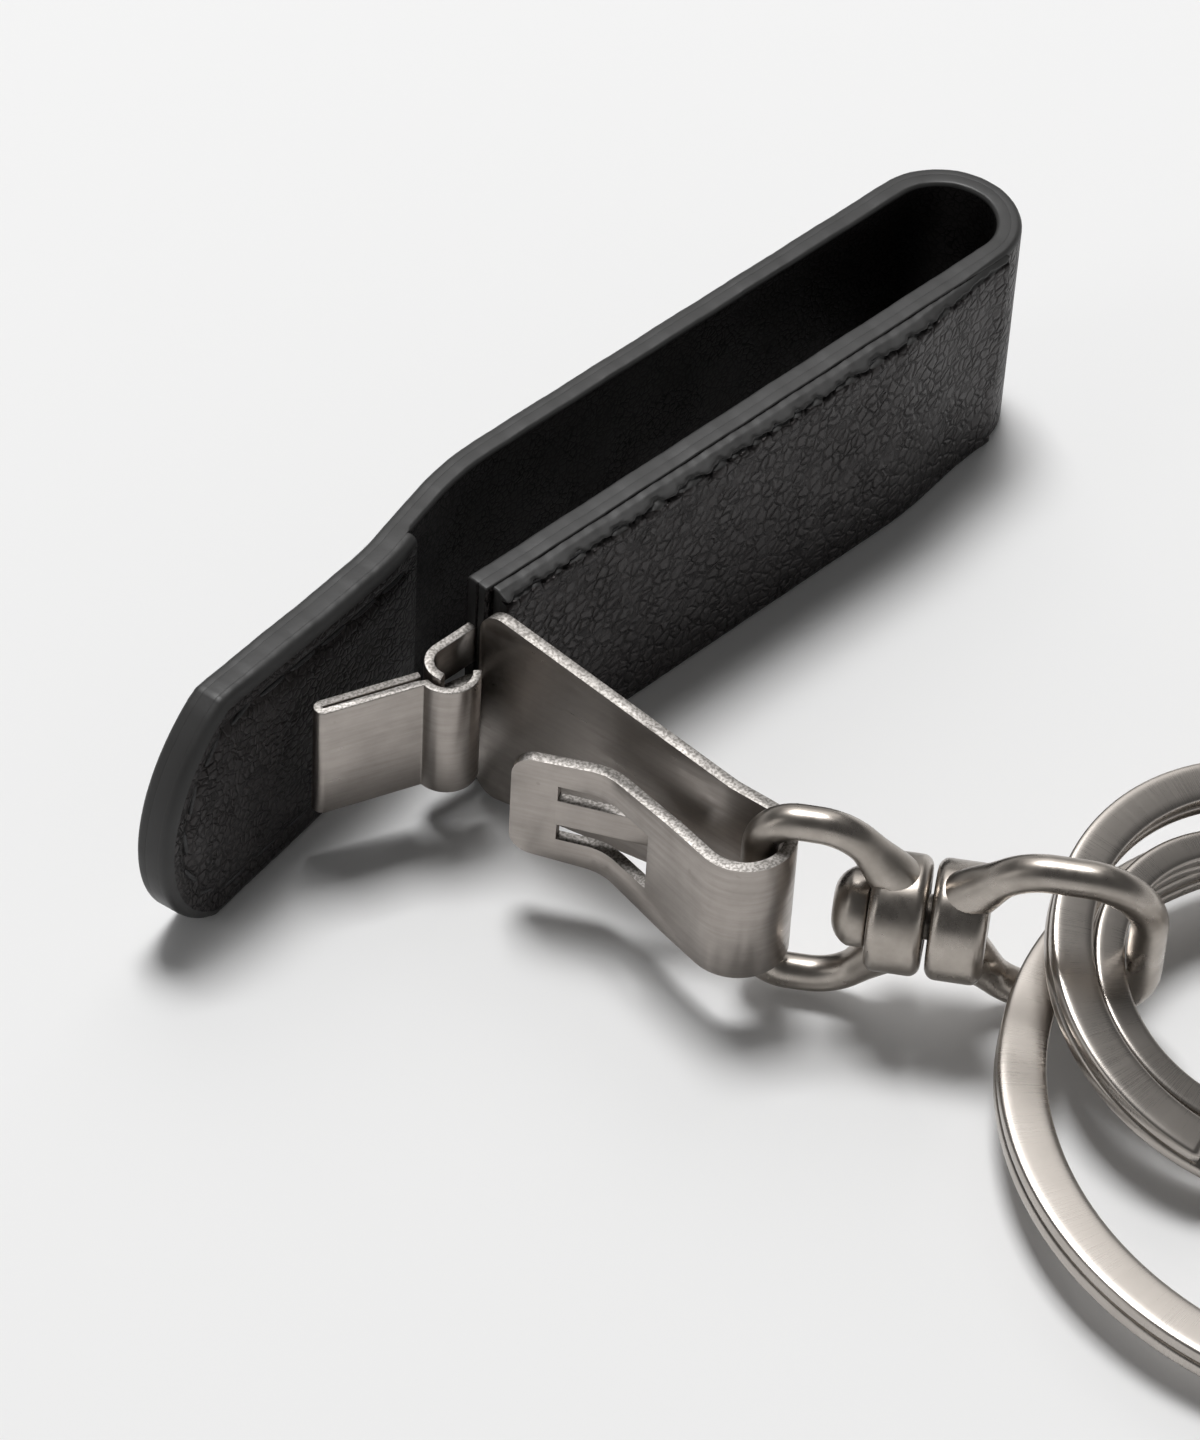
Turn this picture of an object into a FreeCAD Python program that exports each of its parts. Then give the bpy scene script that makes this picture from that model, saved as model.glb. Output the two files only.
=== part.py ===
import FreeCAD, Part
import math
import os
import Sketcher
from FreeCAD import Base

# Belt key clip, standing on the long edge of its strap. Millimetres.
# +X runs along the strap from its open mouth to the fold, +Y from the front layer to the back layer, +Z up.
# Each size is written once here, goes into the sheet under its own name, and every solid reads the sheet.
# The sizes count from the front layer's open end; home_x and home_y then carry every piece so that the origin
# is the middle of the belt slot, on the edge the clip lies on.
sizes = {
    "strap_width": 18.0,
    "lining_thick": 1.0,
    "strap_thick": 0.8,
    "panel_thick": 1.5,
    "facing_thick": 0.8,
    "slot_gap": 7.6,
    "mouth_x": 0.9,
    "fold_x": 50.3,
    "skive_x": 43.0,
    "panel_end": 51.0,
    "panel_lip": 0.3,
    "tongue_root_x": 7.0,
    "tongue_knee_x": -2.0,
    "tongue_knee_drop": 2.6,
    "tongue_tip_x": -26.0,
    "tongue_tip_drop": 6.9,
    "tongue_bend": 24.0,
    "tip_extra": 1.0,
    "facing_end_x": 0.4,
    "sheet_thick": 0.85,
    "pin_radius": 0.6,
    "running_fit": 0.06,
    "layer_gap": 0.08,
    "pin_inset": 0.2,
    "pin_recess": 2.4,
    "barrel_x": -3.6,
    "anchor_width": 10.0,
    "anchor_length": 13.0,
    "anchor_thick": 0.7,
    "anchor_play": 0.1,
    "curl_radius": 1.7,
    "curl_join_angle": 190.0,
    "curl_open_angle": 205.0,
    "knuckle_width": 3.4,
    "knuckle_play": 0.12,
    "gate_width": 9.3,
    "gate_sheet": 0.6,
    "gate_reach": 9.6,
    "gate_heading": 160.0,
    "gate_tip_angle": 320.0,
    "curl_start_angle": 80.0,
    "curl_end_angle": 330.0,
    "hem_gap": 0.14,
    "hem_mouth": 0.5,
    "plate_width": 16.6,
    "plate_round": 1.6,
    "shoulder_y": 0.8,
    "neck_bend": 1.1,
    "hook_taper": 3.3,
    "plate_top_x": -0.42,
    "plate_bend_x": 3.5,
    "bend_y": -22.5,
    "bend_half": 3.45,
    "bend_radius": 3.05,
    "throat_x": -2.2,
    "throat_y": -12.9,
    "throat_bend": 4.2,
    "tab_x": -5.4,
    "tab_y": -7.2,
    "tab_round": 1.6,
    "tab_taper": 0.85,
    "window_width": 4.9,
    "window_far_y": -17.3,
    "spring_width": 2.3,
    "spring_root": 3.2,
    "spring_length": 8.2,
    "spring_play": 0.05,
    "wire_radius": 1.1,
    "eye_room": 0.85,
    "hook_eye_reach": 11.3,
    "ring_eye_reach": 14.1,
    "hook_eye_corner": 2.5,
    "ring_eye_corner": 4.4,
    "eye_shoulder": 5.6,
    "shoulder_round": 4.5,
    "eye_start": 2.9,
    "boss_radius": 4.0,
    "boss_length": 3.7,
    "boss_edge": 0.4,
    "swivel_gap": 0.3,
    "shank_radius": 1.5,
    "press_grip": 0.01,
    "head_radius": 2.6,
    "head_length": 2.3,
    "head_flat": 0.4,
    "swivel_x": 0.61,
    "swivel_y": -23.73,
    "swivel_drop": 0.3,
    "swivel_heading": -54.0,
    "ring_eye_roll": 10.0,
    "big_radius": 25.0,
    "big_band": 3.2,
    "big_x": 4.75,
    "big_y": -16.78,
    "big_drop": 5.77,
    "big_lean": 4.1,
    "big_lean_way": 293.7,
    "small_radius": 16.5,
    "small_band": 2.8,
    "small_x": 7.34,
    "small_y": -6.57,
    "small_drop": 3.18,
    "small_lean": 15.5,
    "small_lean_way": 271.1,
    "inner_radius": 12.0,
    "inner_band": 2.1,
    "inner_x": 6.04,
    "inner_y": -5.5,
    "inner_drop": 4.17,
    "inner_lean": 16.6,
    "inner_lean_way": 279.5,
    "coil_thick": 1.1,
    "coil_gap": 0.06,
    "coil_ramp": 30.0,
    "coil_open": 8.0,
}

doc = FreeCAD.newDocument("belt_key_clip")
sheet = doc.addObject("Spreadsheet::Sheet", "sizes")
cells = {alias: repr(number) for alias, number in sizes.items()}
cells["home_x"] = "=-(mouth_x + fold_x + slot_gap / 2) / 2"
cells["home_y"] = "=-(panel_thick + strap_thick + lining_thick + slot_gap / 2)"
cells["anchor_y"] = "=panel_thick + strap_thick + anchor_thick / 2"
cells["tail_radius"] = "=pin_radius + running_fit + anchor_thick / 2"
cells["hinge_y"] = "=anchor_y - curl_radius + (curl_radius - tail_radius) * sin(curl_join_angle)"
cells["hook_width"] = "=plate_width - 2 * hook_taper"
cells["eye_half"] = "=hook_width / 2 + eye_room + wire_radius"
for row, (alias, content) in enumerate(cells.items(), start=1):
    sheet.set("A%d" % row, alias)
    sheet.set("B%d" % row, content)
    sheet.setAlias("B%d" % row, alias)
doc.recompute()


def size(alias):
    return float(sheet.get(alias))


def point(x, y, z=0.0):
    return Base.Vector(x, y, z)


def polar(angle, radius, centre=point(0, 0)):
    turn = math.radians(angle)
    return centre + point(radius * math.cos(turn), radius * math.sin(turn))


tiny = 1e-6
home = point(size("home_x"), size("home_y"))


# A path is a list of corners (x, y, radius); its corners are rounded and it is read as lines and arcs at a
# side step from its own line, so that layers of one strip share one path.
def path_run(corners, step):
    spots = [point(x, y) for x, y, r in corners]
    run = []
    last = None
    for i, (x, y, radius) in enumerate(corners):
        if i == 0 or i == len(corners) - 1:
            other = spots[1] - spots[0] if i == 0 else spots[-1] - spots[-2]
            side = point(-other.y, other.x).normalize()
            spot = spots[i] + side * step
            if last is not None:
                run.append((last, spot))
            last = spot
            continue
        into = (spots[i] - spots[i - 1]).normalize()
        away = (spots[i + 1] - spots[i]).normalize()
        bend = math.atan2(into.x * away.y - into.y * away.x, into.dot(away))
        sense = 1.0 if bend > 0 else -1.0
        reach = radius * math.tan(abs(bend) / 2)
        start = spots[i] - into * reach
        stop = spots[i] + away * reach
        centre = start + point(-into.y, into.x) * (sense * radius)
        middle = (spots[i] - centre).normalize()
        inner = radius - sense * step
        first = centre + (start - centre).normalize() * inner
        half = centre + middle * inner
        final = centre + (stop - centre).normalize() * inner
        if (first - last).Length > tiny:
            run.append((last, first))
        run.append((first, half, final))
        last = final
    return run


def as_curve(piece):
    if len(piece) == 2:
        return Part.LineSegment(piece[0], piece[1])
    return Part.Arc(piece[0], piece[1], piece[2])


def outline(corners, near, far):
    one = path_run(corners, near)
    two = path_run(corners, far)
    curves = [as_curve(p) for p in one + two]
    curves.append(Part.LineSegment(one[0][0], two[0][0]))
    curves.append(Part.LineSegment(one[-1][-1], two[-1][-1]))
    return curves


def loop(*spots):
    return [Part.LineSegment(a, b) for a, b in zip(spots, spots[1:] + spots[:1])]


def new_body(label):
    body = doc.addObject("PartDesign::Body", label)
    body.Label = label
    return body


def draw(body, name, plane, curves, offset=point(0, 0, 0)):
    sketch = body.newObject("Sketcher::SketchObject", name)
    support = [f for f in body.Origin.OriginFeatures if f.Role == plane][0]
    sketch.AttachmentSupport = [(support, "")]
    sketch.MapMode = "FlatFace"
    sketch.AttachmentOffset = FreeCAD.Placement(offset, FreeCAD.Rotation())
    sketch.addGeometry(curves, False)
    return sketch


def pad(body, name, sketch, length, both=False):
    feature = body.newObject("PartDesign::Pad", name)
    feature.Profile = sketch
    feature.setExpression("Length", length)
    feature.Midplane = both
    sketch.Visibility = False
    doc.recompute()
    return feature


def pocket(body, name, sketch, length, both=True):
    feature = body.newObject("PartDesign::Pocket", name)
    feature.Profile = sketch
    feature.setExpression("Length", length)
    feature.Midplane = both
    sketch.Visibility = False
    doc.recompute()
    return feature


def place(body, x="0", y="0", z="0"):
    body.setExpression("Placement.Base.x", "sizes.home_x + " + x)
    body.setExpression("Placement.Base.y", "sizes.home_y + " + y)
    body.setExpression("Placement.Base.z", z)


# Strap layers. The path is the lining's inner face: front layer, fold, back layer, tongue.
width = size("strap_width")
lining = size("lining_thick")
leather = lining + size("strap_thick")
front_y = size("panel_thick") + leather
back_y = front_y + size("slot_gap")
fold = size("slot_gap") / 2
tip_x = size("tongue_tip_x")
bend = size("tongue_bend")
strap_path = [
    (size("mouth_x"), front_y, 0),
    (size("fold_x") + fold, front_y, fold),
    (size("fold_x") + fold, back_y, fold),
    (size("tongue_root_x"), back_y, bend),
    (size("tongue_knee_x"), back_y - size("tongue_knee_drop"), bend),
    (tip_x, back_y - size("tongue_tip_drop"), 0),
]
facing_end = size("facing_end_x")
root_slope = size("tongue_knee_drop") / (size("tongue_root_x") - size("tongue_knee_x"))
facing_path = [
    (facing_end, back_y - size("tongue_knee_drop") + (facing_end - size("tongue_knee_x")) * root_slope, 0),
    strap_path[4],
    strap_path[5],
]


def round_tip(body):
    half = width / 2
    radius = half + size("tip_extra")
    corner = tip_x + radius - math.sqrt(radius ** 2 - half ** 2)
    far = tip_x - half
    arc = Part.Arc(point(corner, 0), point(tip_x, half), point(corner, width))
    rest = [(point(corner, width), point(far, width)), (point(far, width), point(far, 0)),
            (point(far, 0), point(corner, 0))]
    curves = [arc] + [Part.LineSegment(a, b) for a, b in rest]
    line = draw(body, body.Label + "_tip_line", "XZ_Plane", curves)
    pocket(body, body.Label + "_tip", line, "sizes.strap_width * 4")


def layer(label, path, near, far, tip):
    body = new_body(label)
    line = draw(body, label + "_line", "XY_Plane", outline(path, near, far))
    pad(body, label + "_pad", line, "sizes.strap_width")
    if tip:
        round_tip(body)
    place(body)
    return body


strap_outer = layer("strap_outer", strap_path, -leather, -lining, True)
strap_lining = layer("strap_lining", strap_path, -lining, 0.0, True)
tongue_facing = layer("tongue_facing", facing_path, 0.0, size("facing_thick"), True)

# The panel lies on the front layer and is skived thin towards the fold.
front_panel = new_body("front_panel")
panel_back = size("panel_thick")
panel_line = loop(point(size("mouth_x"), 0), point(size("skive_x"), 0),
                  point(size("panel_end"), panel_back - size("panel_lip")),
                  point(size("panel_end"), panel_back), point(size("mouth_x"), panel_back))
pad(front_panel, "panel_pad", draw(front_panel, "panel_line", "XY_Plane", panel_line), "sizes.strap_width")
place(front_panel)

# The lining is let out where the anchor plate lies between it and the strap.
mid = width / 2
play = size("anchor_play")
let_x = size("mouth_x") + size("anchor_length") + play
before = size("mouth_x") - play
let_near = front_y - lining - play
let_far = front_y - lining + size("anchor_thick") + play / 2
let_in = loop(point(before, let_near), point(let_x, let_near), point(let_x, let_far), point(before, let_far))
let_line = draw(strap_lining, "let_in_line", "XY_Plane", let_in, point(0, 0, mid))
pocket(strap_lining, "let_in", let_line, "sizes.anchor_width + 2 * sizes.anchor_play")

# Hinge. The anchor's forked curl and the hook's knuckle share the pin; the gate's barrel turns round both.
sheet_t = size("sheet_thick")
bore = size("pin_radius") + size("running_fit")
curl = bore + sheet_t / 2
hinge = point(size("barrel_x"), size("hinge_y"))


def ring_sector(inner, outer, start, stop):
    middle = (start + stop) / 2
    return [
        Part.Arc(polar(start, outer, hinge), polar(middle, outer, hinge), polar(stop, outer, hinge)),
        Part.Arc(polar(start, inner, hinge), polar(middle, inner, hinge), polar(stop, inner, hinge)),
        Part.LineSegment(polar(start, inner, hinge), polar(start, outer, hinge)),
        Part.LineSegment(polar(stop, inner, hinge), polar(stop, outer, hinge)),
    ]


hinge_pin = doc.addObject("Part::Cylinder", "hinge_pin")
hinge_pin.Label = "hinge_pin"
hinge_pin.setExpression("Radius", "sizes.pin_radius")
hinge_pin.setExpression("Height", "sizes.anchor_width - sizes.pin_inset - sizes.pin_recess")
pin_z = "(sizes.strap_width - sizes.anchor_width) / 2 + sizes.pin_inset"
place(hinge_pin, "sizes.barrel_x", "sizes.hinge_y", pin_z)

# The anchor's curl opens wide behind the gate, then tucks in tight round the pin.
anchor = new_body("anchor_plate")
wrap = bore + sheet_t
tail = bore + size("anchor_thick")
join = size("curl_join_angle")
wide_out = size("curl_radius") + size("anchor_thick") / 2
wide_in = size("curl_radius") - size("anchor_thick") / 2
eddy = hinge - polar(join, size("curl_radius") - size("tail_radius"))
anchor_far = size("mouth_x") + size("anchor_length")
curl_end = size("curl_end_angle")
wide_half = (90.0 + join) / 2
tail_half = (join + curl_end) / 2
anchor_line = [
    Part.LineSegment(point(anchor_far, eddy.y + wide_out), polar(90, wide_out, eddy)),
    Part.Arc(polar(90, wide_out, eddy), polar(wide_half, wide_out, eddy), polar(join, wide_out, eddy)),
    Part.Arc(polar(join, tail, hinge), polar(tail_half, tail, hinge), polar(curl_end, tail, hinge)),
    Part.LineSegment(polar(curl_end, tail, hinge), polar(curl_end, bore, hinge)),
    Part.Arc(polar(curl_end, bore, hinge), polar(tail_half, bore, hinge), polar(join, bore, hinge)),
    Part.Arc(polar(join, wide_in, eddy), polar(wide_half, wide_in, eddy), polar(90, wide_in, eddy)),
    Part.LineSegment(polar(90, wide_in, eddy), point(anchor_far, eddy.y + wide_in)),
    Part.LineSegment(point(anchor_far, eddy.y + wide_in), point(anchor_far, eddy.y + wide_out)),
]
pad(anchor, "anchor_pad", draw(anchor, "anchor_line", "XY_Plane", anchor_line), "sizes.anchor_width")
fork_half = size("knuckle_width") / 2 + size("knuckle_play")
fork_mid = size("anchor_width") / 2
fork_in = eddy.x - 2 * wide_out
fork_out = size("plate_top_x") + sheet_t
fork = loop(point(fork_in, fork_mid - fork_half), point(fork_out, fork_mid - fork_half),
            point(fork_out, fork_mid + fork_half), point(fork_in, fork_mid + fork_half))
pocket(anchor, "anchor_fork", draw(anchor, "fork_line", "XZ_Plane", fork), "sizes.anchor_width * 2")
open_line = ring_sector(bore / 2, wrap, size("curl_open_angle"), curl_end + bore)
open_cut = draw(anchor, "open_line", "XY_Plane", open_line, point(0, 0, size("anchor_width")))
pocket(anchor, "anchor_open", open_cut, "sizes.anchor_width - sizes.knuckle_width - 2 * sizes.knuckle_play")
place(anchor, z="(sizes.strap_width - sizes.anchor_width) / 2")

# Gate: one strip hemmed at its free end, both legs rounded over the knuckles.
gate = new_body("gate_flap")
gate_in = wrap + size("layer_gap")
gate_sheet = size("gate_sheet")
gate_out = gate_in + gate_sheet
heading = size("gate_heading")
ahead = polar(heading, 1.0)
aside = point(-ahead.y, ahead.x)
half_stack = gate_sheet + size("hem_gap") / 2
barrel = ring_sector(gate_in, gate_out, heading, size("gate_tip_angle"))
pad(gate, "gate_barrel", draw(gate, "barrel_line", "XY_Plane", barrel), "sizes.gate_width")
root = hinge + ahead * ((gate_in + gate_out) / 2)
end = hinge + ahead * (size("gate_reach") - half_stack)
flap = [
    Part.LineSegment(root + aside * half_stack, end + aside * half_stack),
    Part.Arc(end + aside * half_stack, end + ahead * half_stack, end - aside * half_stack),
    Part.LineSegment(end - aside * half_stack, root - aside * half_stack),
    Part.LineSegment(root - aside * half_stack, root + aside * half_stack),
]
pad(gate, "gate_leaf", draw(gate, "leaf_line", "XY_Plane", flap), "sizes.gate_width")
slim = size("hem_gap") / 2
wide = size("hem_mouth") / 2
deep = hinge + ahead * (gate_in - 2 * size("layer_gap"))
near_wall = hinge + ahead * (gate_out + wide)
hem = loop(deep + aside * wide, deep - aside * wide, near_wall - aside * slim, end - aside * slim,
           end + aside * slim, near_wall + aside * slim)
pocket(gate, "gate_hem", draw(gate, "hem_line", "XY_Plane", hem), "sizes.gate_width * 4")
place(gate, z="(sizes.strap_width - sizes.gate_width) / 2")

# Hook: knuckle, neck, tapered plate, round bend, belly, flared tab with the spring's window.
hook = new_body("hook_strip")
half_t = sheet_t / 2
plate_top = size("plate_top_x")
bend_half = size("bend_half")
bend_r = size("bend_radius")
bend_y = size("bend_y")
bend_out = size("plate_bend_x")
curl_start = size("curl_start_angle")
neck = polar(curl_start, curl, hinge)
neck_fall = (plate_top - neck.x) / math.tan(math.radians(curl_start))
neck_corner = (plate_top, neck.y - neck_fall, size("neck_bend"))
plate_corner = (bend_out, bend_y - bend_half, bend_r)
belly_corner = (bend_out - 2 * bend_half, bend_y - bend_half, bend_r)
throat = (size("throat_x"), size("throat_y"), size("throat_bend"))
tab = (size("tab_x"), size("tab_y"), 0)
hook_path = [(neck.x, neck.y, 0), neck_corner, plate_corner, belly_corner, throat, tab]
hook_line = draw(hook, "hook_line", "XY_Plane", outline(hook_path, -half_t, half_t))
pad(hook, "hook_pad", hook_line, "sizes.plate_width")
knuckle = ring_sector(bore, wrap, curl_start, curl_end)
knuckle_line = draw(hook, "knuckle_line", "XY_Plane", knuckle, point(0, 0, size("plate_width") / 2))
pad(hook, "hook_knuckle", knuckle_line, "sizes.knuckle_width", True)

# Side cuts, seen along X: the plate tapers to the hook's width, the neck and knuckle narrow to the fork.
tall = size("plate_width")
centre_z = tall / 2
half_hook = size("hook_width") / 2
half_neck = size("knuckle_width") / 2
shoulder_y = size("shoulder_y")
rounding = size("plate_round")
beyond = tall
leg_back = size("throat_x") + sheet_t * 0.7
for name, sign in (("upper", 1), ("lower", -1)):
    edge = centre_z + sign * centre_z
    outside = centre_z + sign * (centre_z + 1.0)
    neck_z = centre_z + sign * half_neck
    hook_z = centre_z + sign * half_hook
    bow = rounding * (1 - math.sqrt(0.5))
    neck_cut = [
        Part.LineSegment(point(beyond, outside), point(beyond, neck_z)),
        Part.LineSegment(point(beyond, neck_z), point(shoulder_y, neck_z)),
        Part.LineSegment(point(shoulder_y, neck_z), point(shoulder_y, edge - sign * rounding)),
        Part.Arc(point(shoulder_y, edge - sign * rounding), point(shoulder_y - bow, edge - sign * bow),
                 point(shoulder_y - rounding, edge)),
        Part.LineSegment(point(shoulder_y - rounding, edge), point(shoulder_y - rounding, outside)),
        Part.LineSegment(point(shoulder_y - rounding, outside), point(beyond, outside)),
    ]
    line = draw(hook, name + "_neck_line", "YZ_Plane", neck_cut)
    pocket(hook, name + "_neck", line, "sizes.plate_width * 4")
    below = bend_y - 2 * bend_r
    taper = loop(point(shoulder_y - rounding, outside), point(shoulder_y - rounding, edge),
                 point(bend_y + bend_r, hook_z), point(below, hook_z), point(below, outside))
    line = draw(hook, name + "_taper_line", "YZ_Plane", taper)
    pocket(hook, name + "_taper", line, "sizes.plate_width * 4")
    past_tab = size("tab_y") + 2 * sheet_t
    tab_z = hook_z - sign * size("tab_taper")
    tab_cut = loop(point(bend_y + bend_r, outside), point(bend_y + bend_r, hook_z),
                   point(past_tab, tab_z), point(past_tab, outside))
    line = draw(hook, name + "_tab_line", "YZ_Plane", tab_cut, point(0, 0, leg_back))
    pocket(hook, name + "_tab", line, "sizes.plate_width * 4", False)
tab_end = point(size("tab_x"), size("tab_y"))
tab_way = (point(size("throat_x"), size("throat_y")) - tab_end).normalize()
tab_side = point(-tab_way.y, tab_way.x)
spring_at = tab_end + tab_way * size("spring_root")
window = loop(spring_at + tab_side, spring_at - tab_side, point(size("tab_x"), size("window_far_y")),
              point(leg_back, size("window_far_y")), point(leg_back, spring_at.y))
window_line = draw(hook, "window_line", "XY_Plane", window, point(0, 0, centre_z))
lanced = pocket(hook, "window", window_line, "sizes.window_width")


def near_tab_corner(edge):
    spot = edge.CenterOfMass
    flat = point(spot.x, spot.y)
    level = abs(abs(spot.z - centre_z) - half_hook + size("tab_taper")) < sheet_t / 4
    return level and (flat - tab_end).Length < sheet_t / 4 and abs(edge.Length - sheet_t) < sheet_t / 4


corners = ["Edge%d" % (i + 1) for i, edge in enumerate(lanced.Shape.Edges) if near_tab_corner(edge)]
tab_fillet = hook.newObject("PartDesign::Fillet", "tab_corners")
tab_fillet.Base = (lanced, corners)
tab_fillet.setExpression("Radius", "sizes.tab_round")
place(hook, z="(sizes.strap_width - sizes.plate_width) / 2")
doc.recompute()

spring = doc.addObject("Part::Box", "spring_tongue")
spring.Label = "spring_tongue"
spring.setExpression("Length", "sizes.spring_length")
spring.setExpression("Width", "sizes.sheet_thick")
spring.setExpression("Height", "sizes.spring_width")
spring_foot = spring_at + tab_way * size("spring_play") - tab_side * half_t
spring_turn = math.degrees(math.atan2(tab_way.y, tab_way.x))
spring_heading = FreeCAD.Rotation(point(0, 0, 1), spring_turn)
spring.Placement = FreeCAD.Placement(spring_foot + home, spring_heading)
spring.setExpression("Placement.Base.z", "(sizes.strap_width - sizes.spring_width) / 2")

# Swivel, drawn about its own axis along X: two eyes of bent wire on bored bosses, joined by a rivet.
gap = size("swivel_gap") / 2
boss_end = gap + size("boss_length")
wire = size("wire_radius")


def swivel_eye(label, reach, round_r, hole):
    body = new_body(label)
    edge = size("boss_edge")
    outer = size("boss_radius")
    profile = loop(point(gap, hole), point(gap, outer - edge), point(gap + edge, outer),
                   point(boss_end - edge, outer), point(boss_end, outer - edge), point(boss_end, hole))
    boss = body.newObject("PartDesign::Revolution", label + "_boss")
    boss.Profile = draw(body, label + "_boss_line", "XZ_Plane", profile)
    boss.ReferenceAxis = (boss.Profile[0], ["H_Axis"])
    doc.recompute()
    half = size("eye_half")
    ease = size("shoulder_round")
    start = (gap + size("boss_length") / 2, size("eye_start"))
    shoulder = size("eye_shoulder")
    track = [(start[0], start[1], 0), (shoulder, half, ease), (reach, half, round_r),
             (reach, -half, round_r), (shoulder, -half, ease), (start[0], -start[1], 0)]
    spine = draw(body, label + "_spine", "XZ_Plane", [as_curve(p) for p in path_run(track, 0.0)])
    section = body.newObject("Sketcher::SketchObject", label + "_section")
    way = point(shoulder - start[0], 0, half - start[1])
    section.Placement = FreeCAD.Placement(point(start[0], 0, start[1]), FreeCAD.Rotation(point(0, 0, 1), way))
    section.addGeometry([Part.Circle(point(0, 0), point(0, 0, 1), wire)], False)
    section.addConstraint(Sketcher.Constraint("Radius", 0, wire))
    section.setExpression("Constraints[0]", "sizes.wire_radius")
    bow = body.newObject("PartDesign::AdditivePipe", label + "_bow")
    bow.Profile = section
    bow.Spine = spine
    doc.recompute()
    return body


swivel_base = polar(size("swivel_heading"), size("hook_eye_reach"), point(size("swivel_x"), size("swivel_y")))
about_z = point(0, 0, 1)


def on_swivel(body, half_turn, roll):
    spin = FreeCAD.Rotation(about_z, size("swivel_heading") + half_turn)
    tilt = FreeCAD.Rotation(point(1, 0, 0), roll)
    body.Placement = FreeCAD.Placement(swivel_base + home, spin.multiply(tilt))
    body.setExpression("Placement.Base.z", "sizes.strap_width / 2 - sizes.swivel_drop")


hook_bore = size("shank_radius") + size("running_fit")
hook_eye = swivel_eye("hook_eye", size("hook_eye_reach"), size("hook_eye_corner"), hook_bore)
on_swivel(hook_eye, 180.0, 0.0)
press_bore = size("shank_radius") - size("press_grip")
ring_eye = swivel_eye("ring_eye", size("ring_eye_reach"), size("ring_eye_corner"), press_bore)
on_swivel(ring_eye, 0.0, size("ring_eye_roll"))

rivet = new_body("swivel_rivet")
shank = size("shank_radius")
head = size("head_radius")
under = -boss_end - size("running_fit")
top = under - size("head_length")
brow = under - size("head_length") / 2
flat = size("head_flat")
dome = flat + (head - flat) * math.sqrt(0.5)
crown = [
    Part.LineSegment(point(boss_end, 0), point(boss_end, shank)),
    Part.LineSegment(point(boss_end, shank), point(under, shank)),
    Part.LineSegment(point(under, shank), point(under, head)),
    Part.LineSegment(point(under, head), point(brow, head)),
    Part.Arc(point(brow, head), point(brow + (top - brow) * math.sqrt(0.5), dome), point(top, flat)),
    Part.LineSegment(point(top, flat), point(top, 0)),
    Part.LineSegment(point(top, 0), point(boss_end, 0)),
]
turned = rivet.newObject("PartDesign::Revolution", "rivet_turned")
turned.Profile = draw(rivet, "rivet_line", "XZ_Plane", crown)
turned.ReferenceAxis = (turned.Profile[0], ["H_Axis"])
on_swivel(rivet, 0.0, 0.0)
doc.recompute()


# Split ring: a lower coil, a ramp up to the upper coil, and the upper coil, each swept about the ring's axis.
def split_ring(label, radius_name, band_name):
    body = new_body(label)
    outer = size(radius_name)
    inner = outer - size(band_name)
    thick = size("coil_thick")
    rise = thick + size("coil_gap")
    low_z = -thick - size("coil_gap") / 2
    ramp = size("coil_ramp")
    sweep = "360 - sizes.coil_ramp - sizes.coil_open"

    def section(name, z, turn):
        corners = [point(inner, z), point(outer, z), point(outer, z + thick), point(inner, z + thick)]
        sketch = draw(body, label + name, "XZ_Plane", loop(*corners))
        sketch.AttachmentOffset = FreeCAD.Placement(point(0, 0, 0), FreeCAD.Rotation(point(0, 1, 0), turn))
        return sketch

    lower = body.newObject("PartDesign::Revolution", label + "_lower")
    lower.Profile = section("_lower_line", low_z, 0.0)
    lower.ReferenceAxis = (lower.Profile[0], ["V_Axis"])
    lower.setExpression("Angle", sweep)
    lower.Reversed = True
    doc.recompute()
    climb = body.newObject("PartDesign::AdditiveHelix", label + "_ramp")
    climb.Profile = section("_ramp_line", low_z, 0.0)
    climb.ReferenceAxis = (climb.Profile[0], ["V_Axis"])
    climb.Mode = "pitch-turns-angle"
    climb.setExpression("Pitch", "(sizes.coil_thick + sizes.coil_gap) * 360 / sizes.coil_ramp")
    climb.setExpression("Turns", "sizes.coil_ramp / 360")
    doc.recompute()
    upper = body.newObject("PartDesign::Revolution", label + "_upper")
    upper.Profile = section("_upper_line", low_z + rise, ramp)
    upper.ReferenceAxis = (upper.Profile[0], ["V_Axis"])
    upper.setExpression("Angle", sweep)
    doc.recompute()
    return body


# Each ring lies where the photograph shows it, measured from the far end of the ring eye that carries it.
eye_end = polar(size("swivel_heading"), size("ring_eye_reach"), swivel_base)


def lay_ring(body, prefix):
    axis = polar(size(prefix + "_lean_way") + 90.0, 1.0)
    centre = eye_end + home + point(size(prefix + "_x"), size(prefix + "_y"))
    body.Placement = FreeCAD.Placement(centre, FreeCAD.Rotation(axis, size(prefix + "_lean")))
    body.setExpression("Placement.Base.z", "sizes.strap_width / 2 - sizes.swivel_drop - sizes.%s_drop" % prefix)


rings = []
for label, prefix in (("large_ring", "big"), ("small_ring", "small"), ("inner_ring", "inner")):
    ring = split_ring(label, prefix + "_radius", prefix + "_band")
    lay_ring(ring, prefix)
    rings.append(ring)
doc.recompute()

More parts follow.
